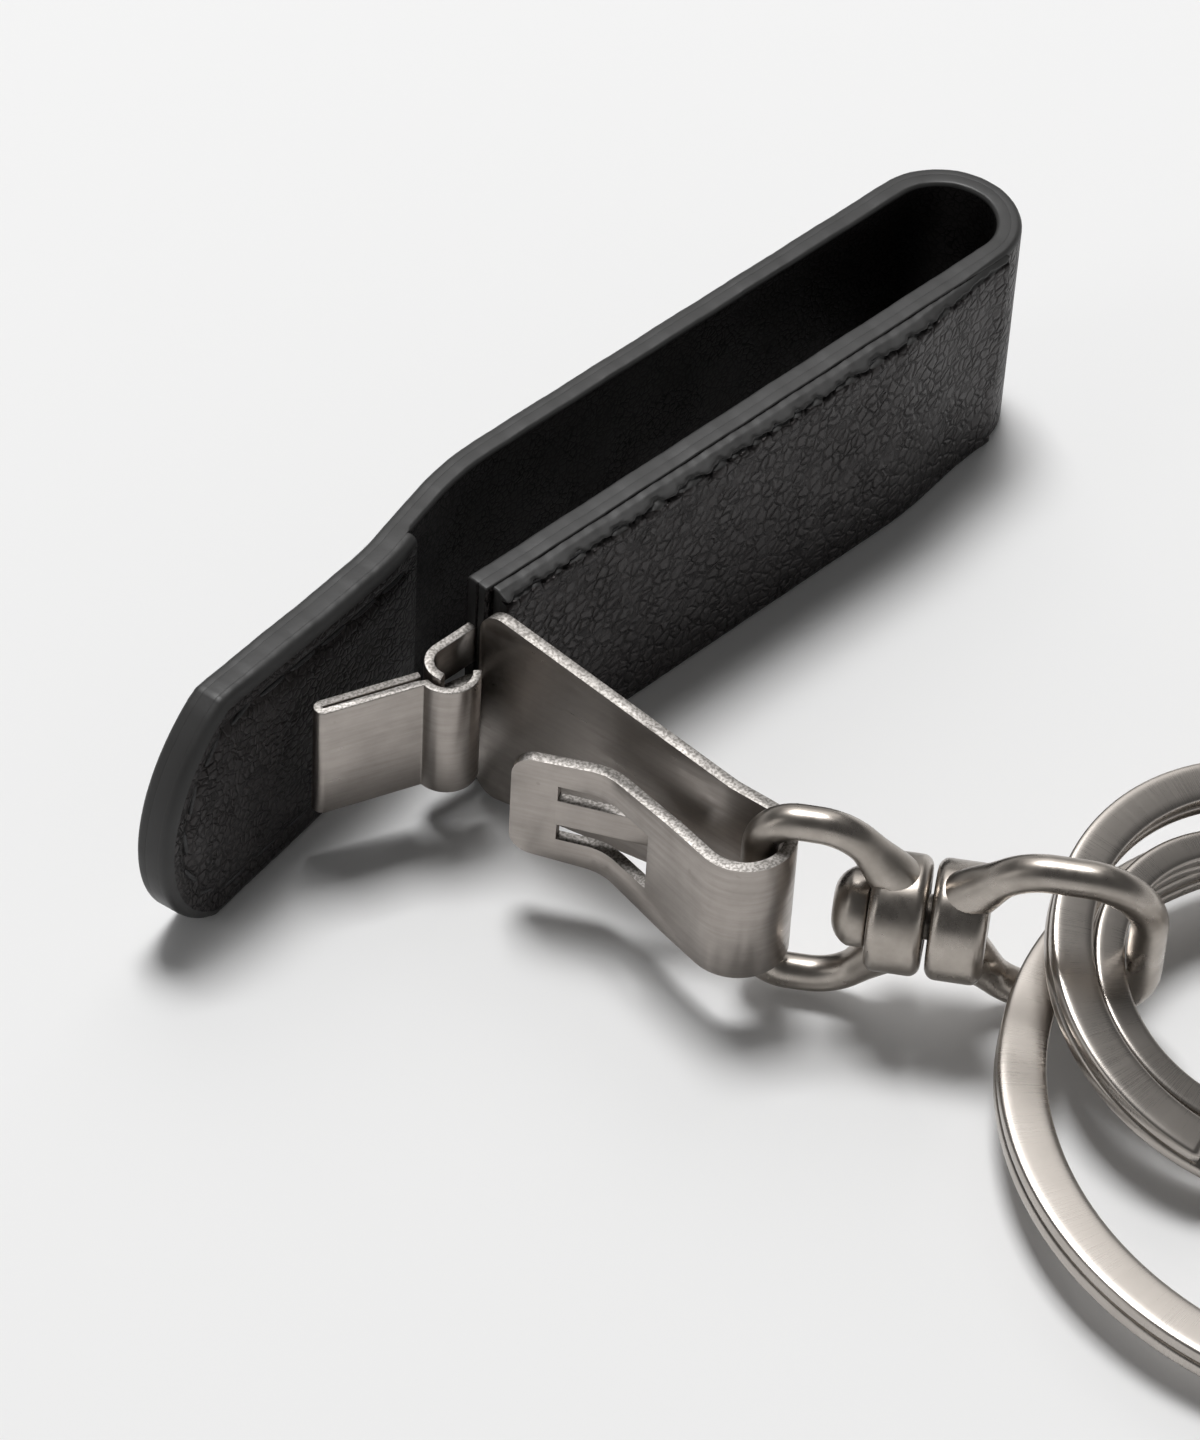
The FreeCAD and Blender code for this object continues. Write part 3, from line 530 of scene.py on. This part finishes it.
# The tongue's seam: a groove drawn in along the outline, with a swollen welt outside it and a soft rise
# inside it, worn down towards the lower edge.
def tongueRelief(path, start, face, inward):
    def relief(s, z, side):
        d = insideTongue(path, s, z)
        groove = ridge(d - tongueLook["seamIn"], *tongueLook["groove"])
        welt = ridge(d - tongueLook["weltIn"], *tongueLook["welt"])
        rise = ridge(d - tongueLook["riseIn"], *tongueLook["rise"])
        worn = partly(tongueLook["worn"], easeIn(z, *tongueLook["wornOver"]))
        begun = easeIn(s, start, start + tongueLook["runIn"])
        return inward * worn * (groove - welt - rise) * (side == face) * begun
    return relief


# The panel's seams: its long edges are pinched down onto the strap, pinch * (1 - ease), up to a ragged crease
# at the seam, which is deeper at every stitch hole. Inside it the leather puckers in step with the stitches.
def panelRelief(s, z, side):
    look = panelSeam
    top = panelLayer["low"] + panelLayer["width"] - z
    low = z - panelLayer["low"]
    d = np.minimum(top, low)
    seam = np.where(top < low, look["seamIn"], look["lowerIn"])
    share = np.where(top < low, 1.0, look["lowerShare"])
    sway, swayRate = look["pitchSway"]
    wave = 0.5 + 0.5 * np.cos(2 * math.pi * s / look["pitch"] + sway * np.sin(s * swayRate))
    thick = 1 - easeIn(s, *panelLayer["skive"])
    pinch = look["pinch"] * (1 - easeIn(d, 0.0, seam)) * partly(look["thinPinch"], thick)
    fromCrease = d - seam - look["creaseSway"] * wave - waveSum(s, look["ragged"])
    crease = ridge(fromCrease, look["crease"][0] + look["crease"][1] * wave, look["creaseWidth"])
    puckered = look["pucker"][0] + look["pucker"][1] * (1 - wave)
    pucker = ridge(d - seam - look["puckerIn"], puckered, look["puckerWidth"])
    swell = waveSum(s, [look["swell"]]) * np.sin(z * look["swellUp"]) * np.minimum(d / look["swellEdge"], 1)
    relief = (share * (crease - pucker) - swell) * partly(look["thinRelief"], thick)
    return share * pinch * (side != farSide) + relief * (side == nearSide)


strapRelief = tongueRelief(strapPath, strapPath["length"] - tongueLook["backRun"], nearSide, inward=1)
facingRelief = tongueRelief(facingPath, tongueLook["frontRun"], farSide, inward=-1)
strap = stripPiece("strapOuter", strapPath, strapLayer, [leather, edgePaint], strapRelief)
strapInner = stripPiece("strapLining", strapPath, liningLayer, [lining, edgePaint])
facing = stripPiece("tongueFacing", facingPath, facingLayer, [facingLeather, edgePaint], facingRelief)
panel = stripPiece("frontPanel", panelPath, panelLayer, [leather, edgePaint], panelRelief)
for piece, node, finish in ((strap, "strap_outer", "strap_leather"),
                            (strapInner, "strap_lining", "lining_leather"),
                            (facing, "tongue_facing", "facing_leather"),
                            (panel, "front_panel", "panel_leather")):
    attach(piece, "belt_loop")
    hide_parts(node)
print("leather layers made")


# Seams: rows of stitches along both long edges of the panel and round the tongue, on its front and its back

stitchGrid = {"sides": 8, "rings": 8, "trim": 0.04, "swell": 0.6, "ahead": 0.01}
panelThread = {"length": 2.2, "radius": 0.16, "outward": -1.0, "sunk": 0.42, "from": 2.0, "to": 44.0}
frontThread = {"length": 2.5, "radius": 0.23, "outward": 1.0, "level": 0.58}
backThread = dict(frontThread, outward=-1.0, level=-1.58)


# Each stitch is a slim capsule, half sunk in its seam. A point at turn u round it and reach v along it is
# spot + way * length / 2 * cos(v) + (across * cos(u) + up * sin(u)) * radius * sin(v) ^ swell.
def stitchRow(name, spots, ways, ups, look):
    sides, rings, trim = stitchGrid["sides"], stitchGrid["rings"], stitchGrid["trim"]
    u = np.linspace(0, 2 * math.pi, sides, endpoint=False)[None, :, None]
    v = np.linspace(trim, math.pi - trim, rings)[:, None, None]
    spot, way, up, across = (rows[:, None, None, :] for rows in (spots, ways, ups, np.cross(ways, ups)))
    radius = look["radius"] * np.sin(v) ** stitchGrid["swell"]
    along = way * (look["length"] / 2 * np.cos(v))
    verts = spot + along + across * (radius * np.cos(u)) + up * (radius * np.sin(u))
    first = np.arange(len(spots))[:, None, None] * (rings * sides)
    faces = (first + np.array(gridFaces(rings, sides))).reshape(-1, 4).tolist()
    return makePiece(name, verts, faces, [thread])


# Stitches at (s, z, a) on a strip: each points towards the next one and stands square to the strip's face.
def stitchAlong(name, path, s, z, a, look, warp=False):
    def at(sHere, zHere):
        move, leaned = tongueWarp(path, sHere, zHere) if warp else (0, 0)
        return carry(path, sHere + move, zHere, a + leaned)

    def ahead(places):
        gaps = np.diff(places)
        return places + np.append(gaps, gaps[-1]) * stitchGrid["ahead"]
    spots = at(s, z)
    ways = unit(at(ahead(s), ahead(z)) - spots)
    angle = np.interp(np.clip(s, 0, path["length"]), path["run"], path["angle"])
    ups = np.stack([-np.sin(angle), np.cos(angle), 0 * angle], -1) * look["outward"]
    ups = unit(ups - ways * np.sum(ups * ways, 1)[:, None])
    return stitchRow(name, spots, ways, ups, look)


# The seam round the tongue: its long edges and the tip's arc, moved in, with stitches evenly along them.
def tongueSeam(path):
    tip, seam, wide = stripLook["tip"], tongueLook["seamIn"], stripLook["width"]
    corner = math.asin((wide / 2 - seam) / (tip - seam))
    arc = np.linspace(corner, -corner, tongueLook["seamSteps"])
    middle = np.array([path["length"] - tip, wide / 2])
    bend = middle + (tip - seam) * np.stack([np.cos(arc), np.sin(arc)], 1)
    lead = path["length"] - facingPath["length"] + tongueLook["seamLead"]
    line = np.concatenate([[[lead, wide - seam]], bend, [[lead, seam]]])
    run = runAlong(line)
    count = int(run[-1] / tongueLook["pitch"])
    at = (np.arange(count) + 0.5) * run[-1] / count
    return np.interp(at, run, line[:, 0]), np.interp(at, run, line[:, 1])


panelS = np.arange(panelThread["from"], panelThread["to"], panelSeam["pitch"]) + panelSeam["pitch"] / 2
sunk = panelThread["sunk"] + panelLayer["skiveDepth"] * easeIn(panelS, *panelLayer["skive"])
upperZ = np.full(len(panelS), panelLayer["low"] + panelLayer["width"] - panelSeam["seamIn"])
lowerZ = np.full(len(panelS), panelLayer["low"] + panelSeam["lowerIn"])
frontS, frontZ = tongueSeam(facingPath)
backS, backZ = tongueSeam(strapPath)
upperRow = stitchAlong("panelUpperStitches", panelPath, panelS, upperZ, sunk, panelThread)
lowerRow = stitchAlong("panelLowerStitches", panelPath, panelS, lowerZ, sunk, panelThread)
frontRow = stitchAlong("tongueFrontStitches", facingPath, frontS, frontZ, frontThread["level"], frontThread,
                       warp=True)
backRow = stitchAlong("tongueBackStitches", strapPath, backS, backZ, backThread["level"], backThread,
                      warp=True)
for row, finish in ((upperRow, "panel_leather"), (lowerRow, "panel_leather"), (frontRow, "facing_leather"),
                    (backRow, "strap_leather")):
    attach(row, "belt_loop")
print("seams stitched")


# Metal: a merged copy of each solid with its edges broken by a small bevel

breakLook = {"weld": 1e-6, "flat": 0.5, "corner": 38.0, "segments": 2}
steelPieces = [("anchor_plate", "belt_loop", "satin_steel", sheetSteel, 0.1),
               ("gate_flap", "gate", "satin_steel", sheetSteel, 0.1),
               ("hook_strip", "hook", "satin_steel", sheetSteel, 0.1),
               ("hinge_pin", "belt_loop", "pin_steel", pinSteel, 0.08),
               ("swivel_rivet", "swivel", "rivet_nickel", nickel, 0.15)]


def brokenEdges(node, body, mat, width):
    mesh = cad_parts[node].data.copy()
    bm = bmesh.new()
    bm.from_mesh(mesh)
    bmesh.ops.remove_doubles(bm, verts=bm.verts, dist=breakLook["weld"])
    bmesh.ops.dissolve_limit(bm, angle_limit=math.radians(breakLook["flat"]), verts=bm.verts, edges=bm.edges)
    bm.to_mesh(mesh)
    bm.free()
    mesh.materials.clear()
    mesh.materials.append(mat)
    mesh.polygons.foreach_set("use_smooth", np.ones(len(mesh.polygons), bool))
    piece = bpy.data.objects.new(node + "Finished", mesh)
    bpy.context.scene.collection.objects.link(piece)
    bevel = piece.modifiers.new("edges", "BEVEL")
    bevel.width = width * mm
    bevel.segments = breakLook["segments"]
    bevel.limit_method = "ANGLE"
    bevel.angle_limit = math.radians(breakLook["corner"])
    bevel.harden_normals = True
    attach(piece, body)
    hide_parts(node)


for node, body, finish, mat, width in steelPieces:
    brokenEdges(node, body, mat, width)

# The spring leaf, whole with the hook's tab at its root: its front face runs from foot along heading, and a
# short tail behind the foot fills the broken edge of the window.
leafLook = {"foot": (-31.6797, -17.342), "heading": -60.69, "length": 8.2, "tail": 0.25}
leafStrip = dict(stripLook, near=0.0, far=0.85, width=2.3, low=7.85, tip=0, cap=0.1, nearEdge=0.1,
                 farEdge=0.1, across=(8, 8), wobble=0.0)
leafTurn = math.radians(leafLook["heading"])
leafWay = np.array([math.cos(leafTurn), math.sin(leafTurn)])
leafFoot = np.array(leafLook["foot"])
leafPath = roundedPath([(*(leafFoot - leafWay * leafLook["tail"]), 0),
                        (*(leafFoot + leafWay * leafLook["length"]), 0)])
leaf = stripPiece("springLeaf", leafPath, leafStrip, [sheetSteel, sheetSteel])
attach(leaf, "spring")
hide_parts("spring_tongue")
print("sheet metal finished")


# Swivel eyes, about their own axis along x: a bored boss turned from its profile, and a round wire carried
# along the bow's path, swelling where it runs into the boss.
swivelLook = {"middle": (-20.248, -39.972, 8.7), "heading": -54.0, "flare": 0.5, "flareOver": (0.4, 4.2),
              "start": (2.0, 2.7), "half": 6.95, "shoulder": (5.6, 4.5), "boss": (0.15, 3.85, 4.0),
              "round": 0.75, "bendSteps": 20, "wireSteps": 150, "wireSides": 28, "bossSides": 72,
              "roundSteps": 8}
hookEye = {"reach": 11.3, "corner": 2.5, "wire": 1.2, "hole": 1.56, "turn": 180.0, "roll": 0.0}
ringEye = {"reach": 14.1, "corner": 4.4, "wire": 1.24, "hole": 1.49, "turn": 0.0, "roll": 10.0}


def swivelPlace(verts, look):
    roll = math.radians(look["roll"])
    turn = math.radians(swivelLook["heading"] + look["turn"])
    y = verts[..., 1] * math.cos(roll) - verts[..., 2] * math.sin(roll)
    z = verts[..., 1] * math.sin(roll) + verts[..., 2] * math.cos(roll)
    x = verts[..., 0]
    spun = np.stack([x * math.cos(turn) - y * math.sin(turn), x * math.sin(turn) + y * math.cos(turn), z], -1)
    return spun + np.array(swivelLook["middle"])


# A circle of the wire's radius round each point of the bow: cos(u) along the path's normal, sin(u) along y.
def bowWire(look):
    half, shoulder, ease = swivelLook["half"], *swivelLook["shoulder"]
    first, reach, corner = swivelLook["start"], look["reach"], look["corner"]
    track = roundedPath([(*first, 0), (shoulder, half, ease), (reach, half, corner), (reach, -half, corner),
                         (shoulder, -half, ease), (first[0], -first[1], 0)], swivelLook["bendSteps"])
    run = np.linspace(0, track["length"], swivelLook["wireSteps"])
    angle = np.interp(run, track["run"], track["angle"])[:, None]
    x = np.interp(run, track["run"], track["line"][:, 0])[:, None]
    z = np.interp(run, track["run"], track["line"][:, 1])[:, None]
    fromEnd = np.minimum(run, track["length"] - run)[:, None]
    radius = look["wire"] + swivelLook["flare"] * (1 - easeIn(fromEnd, *swivelLook["flareOver"]))
    u = np.linspace(0, 2 * math.pi, swivelLook["wireSides"], endpoint=False)[None, :]
    out = radius * np.cos(u)
    return np.stack([x - np.sin(angle) * out, radius * np.sin(u), z + np.cos(angle) * out], -1)


# The boss's profile (x, r), with both outer corners rounded, turned about x: (x, r * cos(t), r * sin(t)).
def boredBoss(look):
    near, far, outer = swivelLook["boss"]
    bow = np.linspace(0, math.pi / 2, swivelLook["roundSteps"])
    away = swivelLook["round"] * (1 - np.sin(bow))
    down = swivelLook["round"] * (1 - np.cos(bow))
    nearEdge = np.stack([near + away, outer - down], 1)[::-1]
    farEdge = np.stack([far - away, outer - down], 1)
    profile = np.concatenate([[[near, look["hole"]]], nearEdge, farEdge, [[far, look["hole"]]]])
    t = np.linspace(0, 2 * math.pi, swivelLook["bossSides"])[:, None]
    x, r = profile[None, :, 0], profile[None, :, 1]
    return np.stack([x + 0 * t, r * np.cos(t), r * np.sin(t)], -1)


def eyePiece(name, node, body, look):
    wire, boss = bowWire(look), boredBoss(look)
    rings, count = wire.shape[:2]
    verts = np.concatenate([wire.reshape(-1, 3), boss.reshape(-1, 3)])
    bossFaces = (np.array(gridFaces(*boss.shape[:2])) + rings * count).tolist()
    faces = gridFaces(rings, count) + bossFaces + endCaps(rings, count)
    piece = makePiece(name, swivelPlace(verts, look), faces, [nickel])
    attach(piece, body)
    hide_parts(node)


eyePiece("hookEyeWire", "hook_eye", "hook_eye", hookEye)
eyePiece("ringEyeWire", "ring_eye", "swivel", ringEye)
print("swivel made")


# Split rings: a rounded flat section carried round two coils. The section is the curve
# |r / half band| ^ power + |h / half thick| ^ power = 1, and the coil's height steps up by one thickness and
# a gap between turns 0 and ramp. split turns the cut, and lean and way say how far and which way it tips.
coilLook = {"thick": 1.1, "gap": 0.06, "ramp": 30.0, "lead": 8.0, "power": 5.0, "steps": 300, "sides": 44}
ringSet = {"large_ring": {"middle": (-7.21, -68.159, 2.93), "radius": 25.0, "band": 3.2,
                          "lean": 4.1, "way": 293.7, "split": 0.0},
           "small_ring": {"middle": (-4.62, -57.949, 5.52), "radius": 16.5, "band": 2.8,
                          "lean": 15.5, "way": 271.1, "split": 208.0},
           "inner_ring": {"middle": (-5.92, -56.879, 4.53), "radius": 12.0, "band": 2.1,
                          "lean": 16.6, "way": 279.5, "split": 0.0}}


def ringPiece(name, node, look):
    steps, sides, ramped = coilLook["steps"], coilLook["sides"], coilLook["ramp"]
    sweep = 360.0 - ramped - coilLook["lead"]
    theta = np.radians(np.linspace(-sweep, ramped + sweep, steps))[:, None]
    climb = coilLook["thick"] + coilLook["gap"]
    height = climb * (easeIn(np.degrees(theta), 0.0, ramped) - 0.5)
    u = np.linspace(0, 2 * math.pi, sides, endpoint=False)[None, :]
    power = 2 / coilLook["power"]
    out = look["band"] / 2 * np.sign(np.cos(u)) * np.abs(np.cos(u)) ** power
    up = coilLook["thick"] / 2 * np.sign(np.sin(u)) * np.abs(np.sin(u)) ** power
    reach = look["radius"] - look["band"] / 2 + out
    turned = theta + math.radians(look["split"])
    flat = np.stack([reach * np.cos(turned), reach * np.sin(turned), height + up], -1)
    way = math.radians(look["way"] + 90)
    tilt = Matrix.Rotation(math.radians(look["lean"]), 3, Vector((math.cos(way), math.sin(way), 0)))
    verts = flat @ np.array(tilt).T + np.array(look["middle"])
    mat = brushedRing(name + "Steel", dict(ringLook, middle=tuple(c * mm for c in look["middle"])))
    piece = makePiece(name, verts, gridFaces(steps, sides) + endCaps(steps, sides), [mat])
    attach(piece, node)
    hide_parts(node)


for name, node in (("largeRing", "large_ring"), ("smallRing", "small_ring"), ("innerRing", "inner_ring")):
    ringPiece(name, node, ringSet[node])
print("rings coiled")


# Stage, in metres apart from the camera's places

floorLook = {"colour": (0.86, 0.86, 0.86), "roughness": 0.9, "shine": 0.1, "span": 6.0}
span = floorLook["span"]
floorMesh = bpy.data.meshes.new("floor")
corners = [(-span, -span, 0), (span, -span, 0), (span, span, 0), (-span, span, 0)]
floorMesh.from_pydata(corners, [], [(0, 1, 2, 3)])
floorMat, _, floorShader = newMaterial("paleFloor", floorLook["colour"], 0.0, floorLook["roughness"])
floorShader.inputs["Specular IOR Level"].default_value = floorLook["shine"]
floorMesh.materials.append(floorMat)
floor = bpy.data.objects.new("floor", floorMesh)
bpy.context.scene.collection.objects.link(floor)


def aimed(place, aim):
    return Matrix.Translation(place) @ (aim - place).to_track_quat("-Z", "Y").to_matrix().to_4x4()


cameraLook = {"lens": 150.0, "sensor": 36.0, "clip": 0.01, "eye": (-229.4, -205.1, 290.6),
              "aim": (-17.0, -6.95, 0.0), "roll": 3.3}
camera = bpy.data.cameras.new("photoCamera")
camera.sensor_fit = "VERTICAL"
camera.sensor_height = cameraLook["sensor"]
camera.lens = cameraLook["lens"]
camera.clip_start = cameraLook["clip"]
cameraObject = bpy.data.objects.new("photoCamera", camera)
bpy.context.scene.collection.objects.link(cameraObject)
rolled = Matrix.Rotation(math.radians(cameraLook["roll"]), 4, "Z")
cameraObject.matrix_world = aimed(Vector(cameraLook["eye"]) * mm, Vector(cameraLook["aim"]) * mm) @ rolled
bpy.context.scene.camera = cameraObject

lampSet = {"keyLight": {"place": (0.26, 0.5, 1.78), "aim": (0, -0.03, 0), "size": (0.6, 0.6), "power": 28.6,
                        "colour": (1.0, 1.0, 1.0)},
           "backLight": {"place": (0.62, 0.58, 0.88), "aim": (0, -0.03, 0), "size": (1.0, 0.7), "power": 2.4,
                         "colour": (1.0, 0.99, 0.98)},
           "sideLight": {"place": (-0.75, 0.25, 0.45), "aim": (0, -0.02, 0), "size": (0.3, 0.5), "power": 0.4,
                         "colour": (1.0, 0.99, 0.98)}}
for name, look in lampSet.items():
    light = bpy.data.lights.new(name, "AREA")
    light.shape = "RECTANGLE"
    light.size, light.size_y = look["size"]
    light.energy = look["power"]
    light.color = look["colour"]
    lamp = bpy.data.objects.new(name, light)
    bpy.context.scene.collection.objects.link(lamp)
    lamp.matrix_world = aimed(Vector(look["place"]), Vector(look["aim"]))

# The room is brightest at the horizon and dims as the direction climbs.
roomLook = {"colour": (0.87, 0.87, 0.87), "climb": (0.1, 0.5), "strength": (0.75, 0.1)}
world = bpy.data.worlds.new("paleRoom")
world.use_nodes = True
worldTree = world.node_tree
background = worldTree.nodes["Background"]
background.inputs["Color"].default_value = (*roomLook["colour"], 1)
skyward = addNode(worldTree, "ShaderNodeTexCoord")
climbing = addNode(worldTree, "ShaderNodeSeparateXYZ", {0: skyward.outputs["Generated"]}).outputs["Z"]
dimming = spread(worldTree, climbing, *roomLook["climb"], *roomLook["strength"], "SMOOTHSTEP")
worldTree.links.new(dimming, background.inputs["Strength"])
bpy.context.scene.world = world
bpy.context.scene.view_settings.view_transform = "Standard"
print("stage set")
